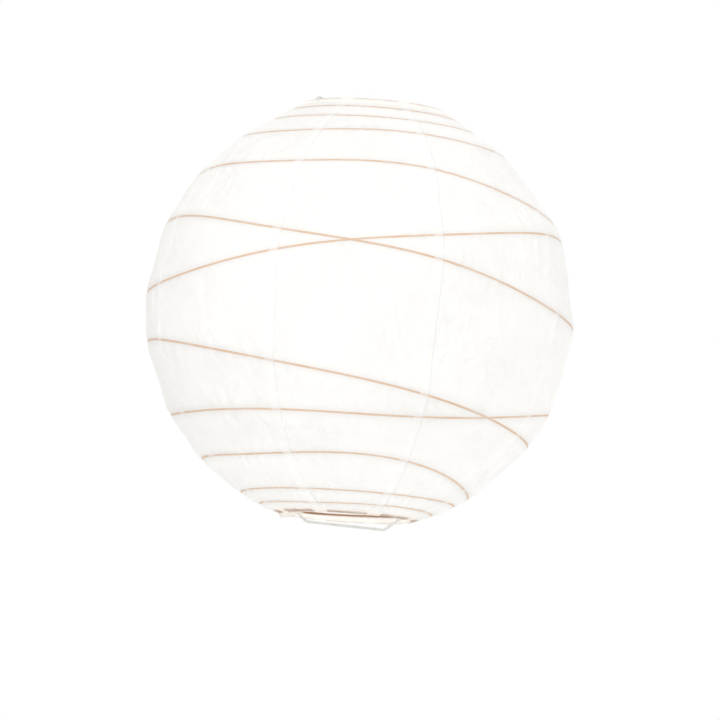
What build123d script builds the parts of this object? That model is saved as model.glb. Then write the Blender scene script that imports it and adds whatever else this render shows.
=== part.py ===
"""Paper globe lantern shade that folds flat: eight paper gores on free-form wire ribs, held open by a
sprung wire expander that hangs from a lampholder ring.

Frame: millimetres, +Z up. The origin is the centre of the fitter ring's bore, and X lies in the plane of the
expander wire. The shade's own heights count from the globe's centre.
"""
from build123d import *
import os
from math import acos, asin, atan, cos, degrees, radians, sin, sqrt, tan
from typing import NamedTuple

# ---- paper globe ----
GLOBE_RADIUS = 224.5           # inner face of the paper
PAPER_THICKNESS = 0.5          # solid stand-in for thin paper
GORE_COUNT = 8
FIRST_SEAM_AZIMUTH = 34.0      # degrees from +X to one seam between two gores
TOP_RING_RADIUS = 75.0
COLLAR_LATITUDE = 60.5         # degrees; the round wall turns into a straight collar above it
COLLAR_LIFT = 7.0              # top ring above where the round globe would put it
BOTTOM_RING_RADIUS = 69.0
HEM_WIDTH = 10.0               # paper folded back over each ring
HEM_GAP = 0.3                  # between a hem and the gores' cut edge

# ---- wires ----
RING_WIRE = 2.5                # diameter of the two end rings
RIB_WIRE = 1.6                 # diameter of a rib
PAPER_CLEARANCE = 0.3          # between a rib and the paper
HEM_CLEARANCE = 0.3            # between a ring and the hem round it
CROSSING_CLEARANCE = 0.8       # between two ribs where one passes inside the other

# ---- lampholder fitter ----
FITTER_BORE = 42.0
FITTER_BAND = 6.0              # from the bore to the rim
FITTER_THICKNESS = 1.5
FITTER_DROP = 8.0              # top ring's centre line above the fitter's mid plane

# ---- expander wire ----
EXPANDER_WIRE = 3.0
EXPANDER_CLEARANCE = 0.3       # to the hems that its shoulders push on
WELD_GAP = 0.2                 # from the wire's end to the fitter's rim
LEG_INSET = 11.0               # from the bottom ring's centre line in to a straight leg
SHOULDER_OVERHANG = 2.0        # a shoulder's tip past the ring's centre line
SHOULDER_LENGTH = 24.0         # from a ring down, or up, to the straight leg
HOOK_RISE = 11.0               # from the top ring's centre line up to the corner that the hook rounds
ARM_STEP = 14.0                # from the hook inwards to where the arm levels out
BAR_DROP = 10.5                # bottom bar below the bottom ring's centre line
BAR_INSET = 18.0               # from where the wire passes the bottom ring in to the level bar
BEND_RATIO = 1.07              # centre-line radius of a bend over the wire's diameter
LEG_BEND = 12.0                # centre-line radius where a shoulder turns into a leg
BAR_BEND = 9.0                 # centre-line radius at each end of the bottom bar

# ---- folding ----
FOLDED_SHARE = 0.08            # folded height as a share of the open height


class Rib(NamedTuple):
    """A wire hoop sprung into the paper. `station` is its place along the gore's round wall, from 0 at
    the bottom hem to 1 at the collar's foot, measured about its own axis. `tilt` is that axis's lean
    and `low_side` the azimuth of the hoop's lowest point, in degrees. An inner hoop passes inside the
    one that it crosses. A hoop with `up_collar` lies on the collar, that share of the way up."""

    name: str
    station: float = 0.0
    tilt: float = 0.0
    low_side: float = 0.0
    inner: bool = False
    up_collar: float = 0.0


RIBS = [
    Rib("rib_01", up_collar=0.75),
    Rib("rib_02", 1.0),
    Rib("rib_03", 0.933),
    Rib("rib_04", 0.757, tilt=10.5, low_side=40),
    Rib("rib_05", 0.622, tilt=11.0, low_side=134, inner=True),
    Rib("rib_06", 0.601, tilt=11.5, low_side=-4),
    Rib("rib_07", 0.357, tilt=10.5, low_side=-24),
    Rib("rib_08", 0.318, tilt=5.5, low_side=-154, inner=True),
    Rib("rib_09", 0.141, tilt=6.0, low_side=48),
    Rib("rib_10", 0.07),
    Rib("rib_11", 0.023),
]

# ---- worked out from the values above ----
HEM_INNER = RING_WIRE / 2 + HEM_CLEARANCE
HEM_OUTER = HEM_INNER + PAPER_THICKNESS
FITTER_RIM = FITTER_BORE + 2 * FITTER_BAND
RIB_LAYER = GLOBE_RADIUS - PAPER_CLEARANCE - RIB_WIRE / 2
INNER_LAYER = RIB_LAYER - RIB_WIRE - CROSSING_CLEARANCE
RING_LAYER = GLOBE_RADIUS - HEM_INNER
TOP_RING_HEIGHT = sqrt(RING_LAYER**2 - TOP_RING_RADIUS**2) + COLLAR_LIFT
BOTTOM_RING_HEIGHT = -sqrt(RING_LAYER**2 - BOTTOM_RING_RADIUS**2)
GLOBE_CENTRE = FITTER_DROP - TOP_RING_HEIGHT
OPEN_HEIGHT = TOP_RING_HEIGHT - BOTTOM_RING_HEIGHT
FOLD_TRAVEL = OPEN_HEIGHT * (1 - FOLDED_SHARE)


def polar(radius, latitude):
    """The point (x, z) at `radius` from the globe's centre and `latitude` degrees above its middle."""
    return radius * cos(radians(latitude)), radius * sin(radians(latitude))


COLLAR_FOOT = Vector(*polar(GLOBE_RADIUS, COLLAR_LATITUDE))
# The collar's inner face runs from the globe to a line that is tangent to the top ring's hem.
TO_RING = Vector(TOP_RING_RADIUS, TOP_RING_HEIGHT) - COLLAR_FOOT
COLLAR_SLOPE = degrees(atan(-TO_RING.Y / TO_RING.X)) + degrees(asin(HEM_INNER / TO_RING.length))
COLLAR_DIRECTION = Vector(-cos(radians(COLLAR_SLOPE)), sin(radians(COLLAR_SLOPE)))
COLLAR_NORMAL = Vector(COLLAR_DIRECTION.Y, -COLLAR_DIRECTION.X)
COLLAR_LENGTH = sqrt(TO_RING.length**2 - HEM_INNER**2) - HEM_WIDTH - HEM_GAP
BOTTOM_LATITUDE = -degrees(acos(BOTTOM_RING_RADIUS / RING_LAYER))
LOW_EDGE_LATITUDE = BOTTOM_LATITUDE + degrees((HEM_WIDTH + HEM_GAP) / RING_LAYER)
BOTTOM_SLOPE = 90 + BOTTOM_LATITUDE


def at_globe(part):
    """The part moved from the globe's own frame to the shared one."""
    return Pos(0, 0, GLOBE_CENTRE) * part


def hoop(radius, wire, height=0.0):
    """A level ring of round wire."""
    return Pos(0, 0, height) * Torus(radius, wire / 2)


def hem(ring_radius, ring_height, slope):
    """A paper strip folded round a ring, both layers leading away from it at `slope` degrees."""
    outer = Circle(HEM_OUTER) + Pos(HEM_WIDTH / 2, 0) * Rectangle(HEM_WIDTH, 2 * HEM_OUTER)
    inner = Circle(HEM_INNER) + Pos(HEM_WIDTH / 2, 0) * Rectangle(HEM_WIDTH, 2 * HEM_INNER)
    section = Plane.XZ * Pos(ring_radius, ring_height) * Rot(0, 0, slope) * (outer - inner)
    return revolve(section, Axis.Z)


def gore():
    """One of the equal paper gores: globe wall and collar, from hem to hem, starting at azimuth 0."""
    low, high = LOW_EDGE_LATITUDE, COLLAR_LATITUDE
    middle = (low + high) / 2
    mouth = COLLAR_FOOT + COLLAR_DIRECTION * COLLAR_LENGTH
    lip = mouth + COLLAR_NORMAL * PAPER_THICKNESS
    inner, outer = GLOBE_RADIUS, GLOBE_RADIUS + PAPER_THICKNESS
    section = make_face(
        [
            ThreePointArc(polar(inner, low), polar(inner, middle), polar(inner, high)),
            Polyline(polar(inner, high), (mouth.X, mouth.Y), (lip.X, lip.Y), polar(outer, high)),
            ThreePointArc(polar(outer, high), polar(outer, middle), polar(outer, low)),
            Line(polar(outer, low), polar(inner, low)),
        ]
    )
    return revolve(Plane.XZ * section, Axis.Z, 360 / GORE_COUNT)


def rib_place(rib):
    """The hoop's centre-line radius and its height along its own axis, on its layer inside the paper."""
    if not rib.up_collar:
        latitude = LOW_EDGE_LATITUDE + rib.station * (COLLAR_LATITUDE - LOW_EDGE_LATITUDE)
        return polar(INNER_LAYER if rib.inner else RIB_LAYER, latitude)
    foot = COLLAR_FOOT - COLLAR_NORMAL * (PAPER_CLEARANCE + RIB_WIRE / 2)
    point = foot + COLLAR_DIRECTION * COLLAR_LENGTH * rib.up_collar
    return point.X, point.Y


def rib_normal(rib):
    """Unit vector square to the hoop's plane; it leans towards the low side."""
    lean, side = radians(rib.tilt), radians(rib.low_side)
    return Vector(sin(lean) * cos(side), sin(lean) * sin(side), cos(lean))


def rib_hoop(rib):
    """The hoop in the globe's frame, square to its own axis."""
    radius, height = rib_place(rib)
    normal = rib_normal(rib)
    return Plane(origin=normal * height, z_dir=normal) * Torus(radius, RIB_WIRE / 2)


def folded_height(height):
    """Where a height from the globe's centre ends up once the shade is folded flat."""
    return TOP_RING_HEIGHT - FOLDED_SHARE * (TOP_RING_HEIGHT - height)


def fold_pole(rib):
    """The level line about which a tilted hoop turns as it rises and levels out: a point on it, in the
    shared frame. The line runs square to the low side."""
    height, lean, side = rib_place(rib)[1], radians(rib.tilt), radians(rib.low_side)
    start = Vector(height * sin(lean), height * cos(lean))
    end = Vector(0.0, folded_height(height))
    chord = end - start
    reach = chord.length / 2 / tan(lean / 2)
    pole = (start + end) * 0.5 + Vector(-chord.Y, chord.X).normalized() * reach
    return Vector(pole.X * cos(side), pole.X * sin(side), pole.Y + GLOBE_CENTRE)


def expander_route():
    """One side of the expander from the fitter's rim to the bottom bar's end, as (x, z, bend)."""
    top, bottom = GLOBE_CENTRE + TOP_RING_HEIGHT, GLOBE_CENTRE + BOTTOM_RING_HEIGHT
    stand_off = HEM_OUTER + EXPANDER_CLEARANCE + EXPANDER_WIRE / 2
    bend = EXPANDER_WIRE * BEND_RATIO
    hook, neck = TOP_RING_RADIUS - stand_off, BOTTOM_RING_RADIUS - stand_off
    # Each shoulder lies along its hem: the neck's and the tip's distances from the ring's centre line.
    (top_neck, top_tip), (bottom_neck, bottom_tip) = [
        (
            stand_off * tan(radians(45 - slope / 2)),
            stand_off / cos(radians(slope)) + SHOULDER_OVERHANG * tan(radians(slope)),
        )
        for slope in (COLLAR_SLOPE, BOTTOM_SLOPE)
    ]
    leg = BOTTOM_RING_RADIUS - LEG_INSET
    return [
        (FITTER_RIM / 2 + WELD_GAP, 0.0, 0.0),
        (hook - ARM_STEP, 0.0, bend),
        (hook - bend, top + HOOK_RISE, bend),
        (hook, top - top_neck, bend),
        (TOP_RING_RADIUS + SHOULDER_OVERHANG, top - top_tip, bend),
        (leg, top - SHOULDER_LENGTH, LEG_BEND),
        (leg, bottom + SHOULDER_LENGTH, LEG_BEND),
        (BOTTOM_RING_RADIUS + SHOULDER_OVERHANG, bottom + bottom_tip, bend),
        (neck, bottom + bottom_neck, bend),
        (neck - BAR_INSET, bottom - BAR_DROP, BAR_BEND),
    ]


def expander():
    """The sprung wire: arm, hook, shoulder and leg on each side, and the bar under the bottom ring."""
    side = expander_route()
    points = [(x, z) for x, z, _ in side] + [(-x, z) for x, z, _ in reversed(side)]
    bends = [bend for _, _, bend in side[1:]]
    path = Plane.XZ * FilletPolyline(*points, radius=bends + bends[::-1])
    start = Plane(origin=path @ 0, z_dir=path % 0)
    return sweep(start * Circle(EXPANDER_WIRE / 2), path=path)


def fitter_ring():
    """Flat ring that a lampholder's collar clamps."""
    return Cylinder(FITTER_RIM / 2, FITTER_THICKNESS) - Cylinder(FITTER_BORE / 2, FITTER_THICKNESS)


def build():
    """Every sub-part by name."""
    parts = {
        "fitter_ring": fitter_ring(),
        "expander_wire": expander(),
        "top_ring": at_globe(hoop(TOP_RING_RADIUS, RING_WIRE, TOP_RING_HEIGHT)),
        "top_hem": at_globe(hem(TOP_RING_RADIUS, TOP_RING_HEIGHT, -COLLAR_SLOPE)),
        "bottom_ring": at_globe(hoop(BOTTOM_RING_RADIUS, RING_WIRE, BOTTOM_RING_HEIGHT)),
        "bottom_hem": at_globe(hem(BOTTOM_RING_RADIUS, BOTTOM_RING_HEIGHT, BOTTOM_SLOPE)),
    }
    for rib in RIBS:
        parts[rib.name] = at_globe(rib_hoop(rib))
    panel = at_globe(gore())
    for i in range(GORE_COUNT):
        turn = FIRST_SEAM_AZIMUTH + i * 360 / GORE_COUNT
        parts[f"paper_gore_{i + 1}"] = Rot(0, 0, turn) * panel
    return parts


os.makedirs("parts", exist_ok=True)
for node, shape in build().items():
    export_step(shape, f"parts/{node}.step")
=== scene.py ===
"""Looks of a lit paper globe lantern: taut paper gores over free-form wire hoops, folded hems and a white
sprung wire. Everything is in metres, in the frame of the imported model; the shade's own heights count from
the globe's centre."""
import enum
import logging
import math
from dataclasses import dataclass

import bmesh
import bpy
import numpy as np
from mathutils import Matrix, Vector


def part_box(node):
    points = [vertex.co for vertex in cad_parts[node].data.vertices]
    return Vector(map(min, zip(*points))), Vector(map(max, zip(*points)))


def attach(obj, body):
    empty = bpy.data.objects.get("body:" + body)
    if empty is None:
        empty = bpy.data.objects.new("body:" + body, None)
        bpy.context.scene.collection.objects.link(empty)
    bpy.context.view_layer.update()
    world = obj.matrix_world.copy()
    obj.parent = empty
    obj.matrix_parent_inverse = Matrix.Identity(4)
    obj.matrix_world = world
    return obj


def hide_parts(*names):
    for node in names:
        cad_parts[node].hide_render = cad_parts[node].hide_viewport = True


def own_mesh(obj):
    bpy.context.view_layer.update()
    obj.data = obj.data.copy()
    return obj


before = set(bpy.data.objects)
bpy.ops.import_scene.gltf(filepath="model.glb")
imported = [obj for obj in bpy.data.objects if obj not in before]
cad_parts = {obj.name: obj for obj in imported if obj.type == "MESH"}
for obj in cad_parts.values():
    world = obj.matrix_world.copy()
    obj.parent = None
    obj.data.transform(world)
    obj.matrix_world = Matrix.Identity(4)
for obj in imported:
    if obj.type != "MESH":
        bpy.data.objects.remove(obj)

LOG = logging.getLogger("lantern")
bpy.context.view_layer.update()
MM = 0.001
FAR = 9.0                      # metres; further than anything on the shade
REST_PLACE = "rest_place"      # attribute: a point's place in the open shade, from the globe's centre
LAP = "lap"                    # attribute: 1 where one gore's edge lies on the next
HEM_SIDE = "hem_turn"          # attribute: how far a hem point is stained, 0 to 1

Socket = bpy.types.NodeSocket
Source = Socket | float | int | str | tuple | bpy.types.Material
Triple = tuple[float, float, float]
Section = list[tuple[np.ndarray, np.ndarray, float]]   # along, off and stain of each point of a hem's section
Shell = tuple[np.ndarray, np.ndarray, np.ndarray]      # points, faces and each point's stain


# ---------------------------------------------------------------------------------- writing node trees
class NodeWriter:
    """Writes nodes and links into one geometry or shader tree."""

    def __init__(self, tree: bpy.types.NodeTree) -> None:
        """Keeps the tree that the nodes go into."""
        self.tree = tree

    def put(self, socket: Socket, source: Source) -> None:
        """Links a socket, or sets its value.

        Args:
            socket: The input to feed.
            source: Another node's output, or a plain value.
        """
        if isinstance(source, bpy.types.NodeSocket):
            self.tree.links.new(source, socket)
        else:
            socket.default_value = source

    def node(
        self, kind: str, inputs: dict[str | int, Source] | None = None, **settings: object
    ) -> bpy.types.Node:
        """Adds one node.

        Args:
            kind: The node's type name.
            inputs: What feeds each named or numbered input.
            settings: The node's own properties.

        Returns:
            The new node.
        """
        made = self.tree.nodes.new(kind)
        for name, value in settings.items():
            setattr(made, name, value)
        for key, source in (inputs or {}).items():
            self.put(made.inputs[key], source)
        return made

    def math(self, operation: str, *sources: Source, clamp: bool = False) -> Socket:
        """Adds a Math node.

        Args:
            operation: The node's operation.
            sources: What feeds its inputs, in order.
            clamp: Whether the result stays between 0 and 1.

        Returns:
            The result.
        """
        made = self.node("ShaderNodeMath", operation=operation, use_clamp=clamp)
        for socket, source in zip(made.inputs, sources):
            self.put(socket, source)
        return made.outputs[0]

    def product(self, *sources: Source) -> Source:
        """Multiplies numbers, one after another.

        Args:
            sources: The numbers.

        Returns:
            Their product.
        """
        found = sources[0]
        for source in sources[1:]:
            found = self.math("MULTIPLY", found, source)
        return found

    def vector(self, operation: str, *sources: Source) -> Socket:
        """Adds a Vector Math node.

        Args:
            operation: The node's operation.
            sources: What feeds its inputs, in order.

        Returns:
            Its vector, or its value where it has only that.
        """
        made = self.node("ShaderNodeVectorMath", operation=operation)
        for socket, source in zip(made.inputs, sources):
            self.put(socket, source)
        return made.outputs["Value" if operation in ("DOT_PRODUCT", "LENGTH") else "Vector"]

    def scaled(self, vector: Source, factor: Source) -> Socket:
        """Returns a vector multiplied by one number."""
        made = self.node("ShaderNodeVectorMath", {0: vector, "Scale": factor}, operation="SCALE")
        return made.outputs["Vector"]

    def blend(self, share: Source, low: Source, high: Source) -> Socket:
        """Returns the number between low and high at a share from 0 to 1."""
        return self.math("MULTIPLY_ADD", share, self.math("SUBTRACT", high, low), low)

    def step(self, value: Source, start: float, end: float, low: float = 0.0, high: float = 1.0) -> Socket:
        """Adds a smooth step.

        Args:
            value: The number that the step follows.
            start: Where the step begins.
            end: Where it ends.
            low: The result up to the start.
            high: The result past the end.

        Returns:
            A number from low to high.
        """
        made = self.node(
            "ShaderNodeMapRange",
            {"Value": value, "From Min": start, "From Max": end, "To Min": low, "To Max": high},
            interpolation_type="SMOOTHSTEP",
        )
        return made.outputs["Result"]

    def split(self, vector: Source) -> tuple[Socket, Socket, Socket]:
        """Returns a vector's three components."""
        made = self.node("ShaderNodeSeparateXYZ", {0: vector})
        return made.outputs[0], made.outputs[1], made.outputs[2]

    def join(self, x: Source, y: Source, z: Source) -> Socket:
        """Returns the vector of three components."""
        return self.node("ShaderNodeCombineXYZ", {0: x, 1: y, 2: z}).outputs[0]

    def raised(self, flat: Source, height: Source) -> Socket:
        """Returns a place moved up by a height."""
        return self.vector("ADD", flat, self.join(0.0, 0.0, height))

    def azimuth(self, place: Source) -> Socket:
        """Returns a place's angle round the lantern's axis, in radians."""
        x, y, _ = self.split(place)
        return self.math("ARCTAN2", y, x)

    def read(self, attribute: str, output: str) -> Socket:
        """Returns a mesh attribute, by its name and the output that gives it."""
        return self.node("ShaderNodeAttribute", attribute_name=attribute).outputs[output]

    def noise(self, place: Source, scale: Source, detail: float = 2.0, roughness: float = 0.5) -> Socket:
        """Adds a noise.

        Args:
            place: Where it is read.
            scale: Cells a metre.
            detail: How many finer layers it has.
            roughness: How strong the finer layers are.

        Returns:
            A value that is about 0.5 on average.
        """
        made = self.node(
            "ShaderNodeTexNoise",
            {"Vector": place, "Scale": scale, "Detail": detail, "Roughness": roughness},
        )
        return made.outputs[0]

    def creases(self, place: Source, scale: float, width: float) -> Socket:
        """Adds the folds of a crumpled pattern.

        Args:
            place: Where the pattern is read.
            scale: Facets a metre.
            width: Width of a fold as a share of a facet.

        Returns:
            1 along the folds and 0 between them.
        """
        swirl = self.node("ShaderNodeTexNoise", {"Vector": place, "Scale": scale * 0.7, "Detail": 1.0})
        bent = self.vector("MULTIPLY_ADD", swirl.outputs["Color"], (0.6 / scale,) * 3, place)
        cells = self.node(
            "ShaderNodeTexVoronoi", {"Vector": bent, "Scale": scale}, feature="DISTANCE_TO_EDGE"
        )
        return self.step(cells.outputs["Distance"], 0.0, width, 1.0, 0.0)

    def ridges(self, place: Source, scale: float, sharpness: float) -> Socket:
        """Adds long wandering ridges.

        Args:
            place: Where the pattern is read.
            scale: Ridges a metre.
            sharpness: How narrow they are.

        Returns:
            1 along the ridges and 0 between them.
        """
        level = self.math("ABSOLUTE", self.math("SUBTRACT", self.noise(place, scale, 1.5, 0.5), 0.5))
        near = self.math("MULTIPLY_ADD", level, -sharpness, 1.0, clamp=True)
        return self.math("MULTIPLY", near, near)

    def leaning(self, place: Source, axis: Triple, angle: float, squeeze: Triple) -> Socket:
        """Turns and squeezes a place, so that a pattern runs one way.

        Args:
            place: The place to change.
            axis: The axis of the turn.
            angle: The turn, in radians.
            squeeze: Factor for each direction; under 1 draws the pattern out.

        Returns:
            The changed place.
        """
        turned = self.node("ShaderNodeVectorRotate", {"Vector": place, "Axis": axis, "Angle": angle})
        return self.vector("MULTIPLY", turned.outputs[0], squeeze)

    def mix(self, share: Source, low: Source, high: Source, way: str = "MIX") -> Socket:
        """Mixes two colours.

        Args:
            share: How far the mix goes from the first to the second.
            low: The first colour.
            high: The second colour.
            way: How they are mixed.

        Returns:
            The colour.
        """
        made = self.node("ShaderNodeMix", data_type="RGBA", blend_type=way)
        for index, source in ((0, share), (6, low), (7, high)):
            self.put(made.inputs[index], source)
        return made.outputs[2]

    def toned(self, colour: Source, tone: Source) -> Socket:
        """Returns a colour made darker or lighter by one factor."""
        return self.mix(1.0, colour, self.join(tone, tone, tone), "MULTIPLY")

    def shaders(self, share: Source, first: bpy.types.Node, second: bpy.types.Node) -> bpy.types.Node:
        """Returns the mix of two shaders, all the second at a share of 1."""
        return self.node("ShaderNodeMixShader", {0: share, 1: first.outputs[0], 2: second.outputs[0]})

    def circle(self, steps: Source, radius: Source) -> bpy.types.Node:
        """Returns a circle of so many steps."""
        return self.node(
            "GeometryNodeCurvePrimitiveCircle", {"Resolution": steps, "Radius": radius}, mode="RADIUS"
        )

    def kept(self, geometry: Socket, name: str, kind: str, value: Source) -> Socket:
        """Stores an attribute on a geometry.

        Args:
            geometry: The geometry.
            name: The attribute's name.
            kind: Its data type.
            value: Its value at each point.

        Returns:
            The geometry with its attribute.
        """
        inputs = {"Geometry": geometry, "Name": name, "Value": value}
        return self.node("GeometryNodeStoreNamedAttribute", inputs, data_type=kind).outputs[0]

    def close(self, out: bpy.types.Node, geometry: Socket, material: Source) -> None:
        """Ends a geometry tree with smooth shading, real instances and a material.

        Args:
            out: The tree's output node.
            geometry: What the tree has made.
            material: The input that gives the material.
        """
        smooth = self.node("GeometryNodeSetShadeSmooth", {"Geometry": geometry})
        real = self.node("GeometryNodeRealizeInstances", {"Geometry": smooth.outputs[0]})
        dressed = self.node("GeometryNodeSetMaterial", {"Geometry": real.outputs[0], "Material": material})
        self.put(out.inputs[0], dressed.outputs[0])


def new_tree(
    name: str, kind: str, inputs: list[tuple[str, str, Source | None]], outputs: list[tuple[str, str]]
) -> tuple[NodeWriter, bpy.types.Node, bpy.types.Node]:
    """Makes a node tree with named sockets.

    Args:
        name: The tree's name.
        kind: "GeometryNodeTree" or "ShaderNodeTree".
        inputs: Name, socket type and default of each input.
        outputs: Name and socket type of each output.

    Returns:
        The writer of the tree, its input node and its output node.
    """
    tree = bpy.data.node_groups.new(name, kind)
    for label, socket_type, default in inputs:
        socket = tree.interface.new_socket(name=label, in_out="INPUT", socket_type=socket_type)
        if default is not None:
            socket.default_value = default
    for label, socket_type in outputs:
        tree.interface.new_socket(name=label, in_out="OUTPUT", socket_type=socket_type)
    writer = NodeWriter(tree)
    return writer, writer.node("NodeGroupInput"), writer.node("NodeGroupOutput")


# ---------------------------------------------------------------------------------- making objects
def add_object(name: str, data: bpy.types.ID) -> bpy.types.Object:
    """Puts a new object into the scene, at the origin.

    Args:
        name: The object's name.
        data: Its mesh, light or camera.

    Returns:
        The object.
    """
    made = bpy.data.objects.new(name, data)
    bpy.context.scene.collection.objects.link(made)
    return made


def face_outwards(mesh: bpy.types.Mesh) -> None:
    """Turns a closed mesh's faces outwards if its volume reads as negative.

    Args:
        mesh: The mesh.
    """
    mesh.calc_loop_triangles()
    corners = np.zeros(len(mesh.loop_triangles) * 3, np.int32)
    mesh.loop_triangles.foreach_get("vertices", corners)
    points = np.zeros(len(mesh.vertices) * 3, np.float32)
    mesh.vertices.foreach_get("co", points)
    points = points.reshape(-1, 3).astype(float)
    a, b, c = (points[corners.reshape(-1, 3)[:, i]] - points.mean(0) for i in range(3))
    if (np.cross(a, b) * c).sum() < 0:
        mesh.flip_normals()


def apply_modifiers(piece: bpy.types.Object) -> None:
    """Makes a piece's modifiers part of its mesh, a closed one.

    Args:
        piece: The piece.
    """
    graph = bpy.context.evaluated_depsgraph_get()
    made = bpy.data.meshes.new_from_object(
        piece.evaluated_get(graph), preserve_all_data_layers=True, depsgraph=graph
    )
    piece.modifiers.clear()
    piece.data = made
    made.name = piece.name
    face_outwards(made)


def add_wall(piece: bpy.types.Object, wall: float, offset: float) -> None:
    """Gives an open surface a thickness.

    Args:
        piece: The piece.
        wall: The thickness, in metres.
        offset: 1 puts the wall outside the surface, and 0 to both sides.
    """
    shell = piece.modifiers.new("Wall", "SOLIDIFY")
    shell.thickness, shell.offset = wall, offset


def grow(
    name: str, tree: bpy.types.NodeTree, values: dict[str, Source], wall: float = 0.0
) -> bpy.types.Object:
    """Runs a geometry tree and keeps its result as a plain mesh at the origin.

    Args:
        name: The piece's name.
        tree: The geometry tree.
        values: What each named input is set to.
        wall: Thickness that is added outwards to an open surface, in metres.

    Returns:
        The piece, without modifiers.
    """
    piece = add_object(name, bpy.data.meshes.new(name))
    modifier = piece.modifiers.new("Form", "NODES")
    modifier.node_group = tree
    known = {s.name: s.identifier for s in tree.interface.items_tree if s.in_out == "INPUT"}
    for label, value in values.items():
        modifier[known[label]] = value
    if wall:
        add_wall(piece, wall, 1.0)
    apply_modifiers(piece)
    return piece


# ---------------------------------------------------------------------------------- sizes of the shade
@dataclass(frozen=True)
class Wave:
    """One ripple of a hoop out of its flat plane."""

    turns: int
    size: float                # metres
    phase: float               # radians


@dataclass(frozen=True)
class Hoop:
    """A wire hoop sprung into the paper, by its place on the shade."""

    name: str
    station: float = 0.0       # along the gore's round wall, 0 at the bottom hem to 1 at the collar's foot
    tilt: float = 0.0          # lean of its own axis, degrees
    low_side: float = 0.0      # azimuth of its lowest point, degrees
    inner: bool = False        # passes inside the hoop that it crosses
    up_collar: float = 0.0     # share of the collar's height, for a hoop that lies on it
    waves: tuple[Wave, ...] = ()

    @property
    def axis(self) -> Vector:
        """Unit vector square to the hoop's plane."""
        lean, side = math.radians(self.tilt), math.radians(self.low_side)
        return Vector((math.sin(lean) * math.cos(side), math.sin(lean) * math.sin(side), math.cos(lean)))


HOOPS = (
    Hoop("rib_01", up_collar=0.75),
    Hoop("rib_02", 1.0),
    Hoop("rib_03", 0.933,
         waves=(Wave(2, 1.2 * MM, -0.24), Wave(3, 3.4 * MM, 0.72))),
    Hoop("rib_04", 0.757, tilt=10.5, low_side=40,
         waves=(Wave(2, 2.9 * MM, -2.82), Wave(4, 3.4 * MM, 2.66))),
    Hoop("rib_05", 0.622, tilt=11.0, low_side=134, inner=True,
         waves=(Wave(2, 2.1 * MM, 2.39), Wave(4, 2.2 * MM, -1.37))),
    Hoop("rib_06", 0.601, tilt=11.5, low_side=-4,
         waves=(Wave(2, 3.1 * MM, 3.10), Wave(4, 3.1 * MM, 2.27))),
    Hoop("rib_07", 0.357, tilt=10.5, low_side=-24,
         waves=(Wave(1, 1.2 * MM, -0.40), Wave(3, 3.5 * MM, 0.17))),
    Hoop("rib_08", 0.318, tilt=5.5, low_side=-154, inner=True,
         waves=(Wave(1, 1.1 * MM, -2.43), Wave(3, 3.4 * MM, -3.06))),
    Hoop("rib_09", 0.141, tilt=6.0, low_side=48,
         waves=(Wave(1, 9.0 * MM, -0.70), Wave(3, 6.1 * MM, 0.68))),
    Hoop("rib_10", 0.07,
         waves=(Wave(1, 2.8 * MM, -2.73),)),
    Hoop("rib_11", 0.023,
         waves=(Wave(1, 1.7 * MM, 3.10), Wave(3, 1.7 * MM, -0.17))),
)


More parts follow.
